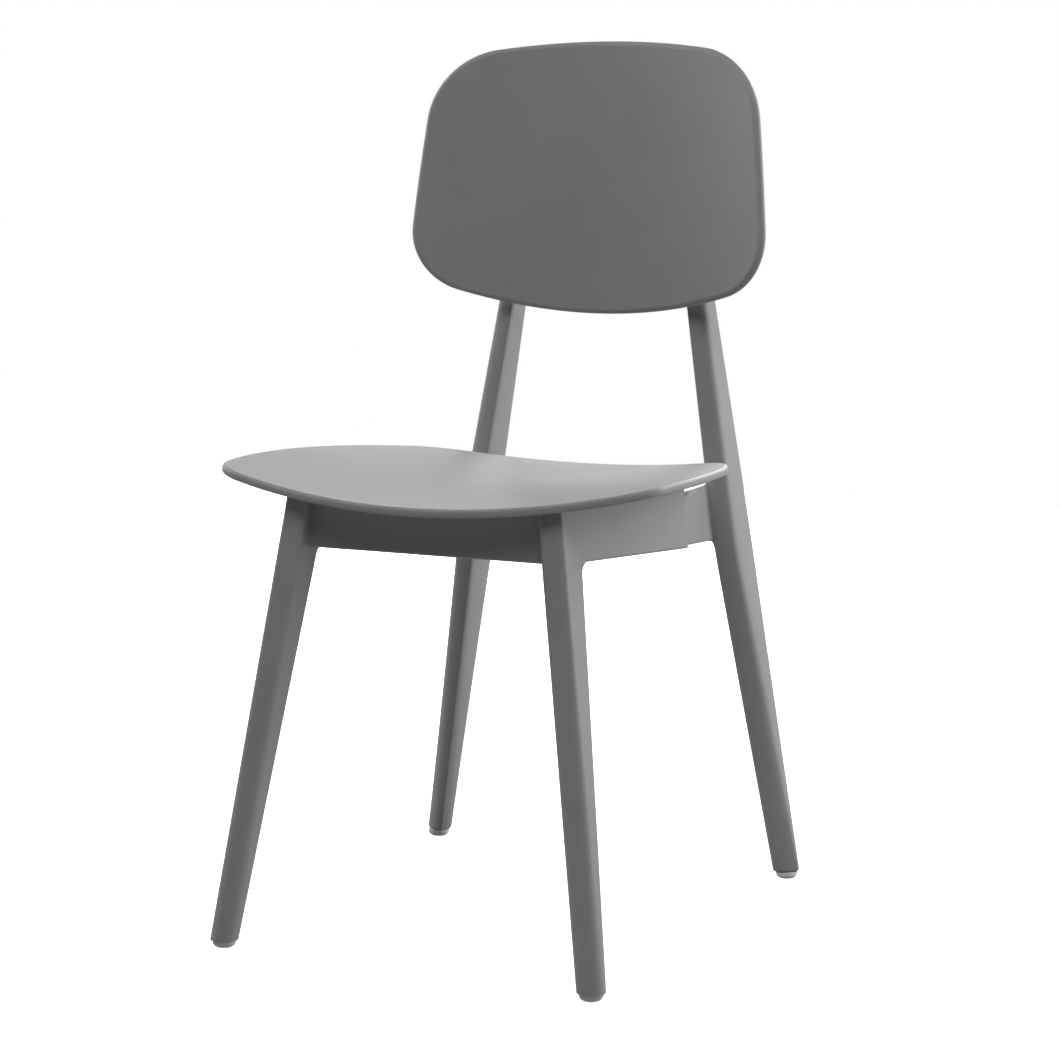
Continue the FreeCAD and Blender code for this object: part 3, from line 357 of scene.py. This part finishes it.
def add_stub(mesh, grid):
    """Grows a stub from the gap that the grid of a leg's corners leaves open, up to the joint."""
    roots = [[vertex.co.copy() for vertex in row] for row in grid]
    for share in STUB_STEPS:
        further = []
        for row, places in enumerate(roots):
            further.append([mesh.verts.new(place.lerp(joint_place(row, column), share))
                            for column, place in enumerate(places)])
        join_rims(mesh, grid, further)
        grid = further
    for low, high in zip(grid, grid[1:]):
        for column in range(STUB_COLUMNS - 1):
            mesh.faces.new((low[column], low[column + 1], high[column + 1], high[column]))


def make_rear_leg(side):
    mesh = bmesh.new()
    rings = []
    for height in REAR_HEIGHTS:
        rings.append([mesh.verts.new((x, y, height)) for x, y in rear_section(height)])
    first = REAR_HEIGHTS.index(STUB_LOW)
    last = REAR_HEIGHTS.index(STUB_TOP)
    for index, (low, high) in enumerate(zip(rings, rings[1:])):
        for corner, start in enumerate(low):
            if first <= index < last and corner < STUB_COLUMNS - 1:
                continue
            following = (corner + 1) % len(low)
            mesh.faces.new((start, low[following], high[following], high[corner]))
    mesh.faces.new(rings[0])
    mesh.faces.new(rings[-1])
    add_stub(mesh, [ring[:STUB_COLUMNS] for ring in rings[first:last + 1]])
    bmesh.ops.scale(mesh, vec=(side, 1, 1), verts=mesh.verts)
    name = "left" if side > 0 else "right"
    finish_piece("rear_leg_moulding_" + name, mesh, "rear_leg_" + name, "frame", REAR_SMOOTHING)


# Dark discs in the small vent in each side rail: painted shade for the shaded bottom of each hole

VENT_PLACE = (143.3, 44, 423.9)
VENT_RADIUS = 1.6
# Thickness of each painted-shade disc
VENT_SHADE_DEPTH = 0.6
VENT_CORNERS = 24


def make_vent_painted_shade():
    mesh = bmesh.new()
    x, y, height = VENT_PLACE
    for side in SIDES:
        add_disc(mesh, (side * x, y, height), "Y", VENT_RADIUS, VENT_SHADE_DEPTH, VENT_CORNERS)
    # The discs are dark sheets that paint the shade inside each vent hole
    finish_piece("vent_painted_shade_discs", mesh, None, "bracket")


# Caps over the back rest's screws

CAP_HEIGHTS = (648, 762)
CAP_RADIUS = 4.9
CAP_RISE = 0.8
CAP_DEPTH = 2.5
CAP_CORNERS = 48
CAP_EDGE = 0.64
CAP_EDGE_STEPS = 4


def make_caps():
    mesh = bmesh.new()
    for side in SIDES:
        for height in CAP_HEIGHTS:
            across, back = rear_middle(height)
            place = (side * across, back + (CAP_RISE - CAP_DEPTH) / 2, height)
            add_disc(mesh, place, "X", CAP_RADIUS, CAP_DEPTH + CAP_RISE, CAP_CORNERS)
    rims = [edge for edge in mesh.edges if sum(len(face.verts) > 4 for face in edge.link_faces) == 1]
    bmesh.ops.bevel(mesh, geom=rims, offset=CAP_EDGE, affect="EDGES", segments=CAP_EDGE_STEPS,
                    profile=0.5, material=-1)
    finish_piece("screw_caps", mesh, "back_screw_caps", "frame")


# Studio

BLACK = (0, 0, 0)
WHITE = (1, 1, 1)
FLOOR_SIZE = 6.4                    # in metres
FLOOR_GLOW = 0.86
FLOOR_FOR_LIGHT = (0.4, 0.4, 0.4)
FLOOR_FOR_CAMERA = (0.8, 0.8, 0.8)


def seen_by_camera(tree):
    """One for what the camera sees directly, and zero for the light that bounces."""
    path = tree.nodes.new("ShaderNodeLightPath")
    return Shade(tree, path.outputs["Is Camera Ray"])


def floor_material():
    """A pale floor that looks white to the camera and still takes shadow."""
    material, shader = new_material("studio_floor")
    tree = material.node_tree
    camera = seen_by_camera(tree)
    feed(tree, shader.inputs["Base Color"], tint(camera, FLOOR_FOR_LIGHT, FLOOR_FOR_CAMERA))
    feed(tree, shader.inputs["Emission Color"], tint(camera, BLACK, WHITE))
    shader.inputs["Emission Strength"].default_value = FLOOR_GLOW
    shader.inputs["Roughness"].default_value = 1
    shader.inputs["Specular IOR Level"].default_value = 0
    return material


def make_floor():
    bpy.ops.mesh.primitive_plane_add(size=FLOOR_SIZE)
    floor = bpy.context.object
    floor.name = "floor"
    floor.data.materials.append(floor_material())


def make_sky():
    """A sky that gives no light and looks white to the camera."""
    world = bpy.data.worlds.new("studio_sky")
    world.use_nodes = True
    tree = world.node_tree
    feed(tree, tree.nodes["Background"].inputs["Color"], tint(seen_by_camera(tree), BLACK, WHITE))
    bpy.context.scene.world = world


# Lights stand round the chair's middle. The compass angle goes from the sitter's left towards the back.
# Compass angle and height angle in degrees, and power in watts

LIGHTS = {
    "front_high": (-60, 55, 61),
    "side_right": (180, 28, 66),
    "rear": (90, 28, 97),
    "rear_left": (45, 28, 40),
    "rear_left_low": (45, 8, 49),
    "rear_right_low": (135, 8, 59),
}
LIGHT_DISTANCE = 3.2
LIGHT_SIZE = 1.8
CHAIR_MIDDLE = Vector((0, 0, 0.45))


def add_light(name, compass, height, power):
    """A round soft light that faces the chair's middle."""
    data = bpy.data.lights.new(name, "AREA")
    data.shape = "DISK"
    data.size = LIGHT_SIZE
    data.energy = power
    light = bpy.data.objects.new(name, data)
    bpy.context.collection.objects.link(light)
    across = radians(compass)
    up = radians(height)
    direction = Vector((cos(across) * cos(up), sin(across) * cos(up), sin(up)))
    place = CHAIR_MIDDLE + direction * LIGHT_DISTANCE
    light.location = place
    light.rotation_euler = (CHAIR_MIDDLE - place).to_track_quat("-Z", "Y").to_euler()


# The camera of the photograph, found from the chair's edges in it. Its place is in metres.

CAMERA_PLACE = (1.18994, -2.46304, 0.77609)
CAMERA_YAW = radians(25.4353)
CAMERA_PITCH = radians(90 - 8.129)  # it looks down by 8.129 degrees
CAMERA_ROLL = radians(0.1351)
CAMERA_LENS = 95.094                # in millimetres, as is the sensor
SENSOR_WIDTH = 36


def place_camera():
    data = bpy.data.cameras.new("photo_camera")
    data.sensor_width = SENSOR_WIDTH
    data.lens = CAMERA_LENS
    camera = bpy.data.objects.new("photo_camera", data)
    bpy.context.collection.objects.link(camera)
    turn = Matrix.Rotation(CAMERA_YAW, 4, "Z") @ Matrix.Rotation(CAMERA_PITCH, 4, "X")
    roll = Matrix.Rotation(CAMERA_ROLL, 4, "Z")
    camera.matrix_world = Matrix.Translation(CAMERA_PLACE) @ turn @ roll
    bpy.context.scene.camera = camera


def set_studio():
    make_floor()
    make_sky()
    for name, (compass, height, power) in LIGHTS.items():
        add_light(name, compass, height, power)
    place_camera()
    bpy.context.scene.view_settings.view_transform = "Standard"


dress_nodes()
for side in SIDES:
    make_rear_leg(side)
make_caps()
make_vent_painted_shade()
set_studio()
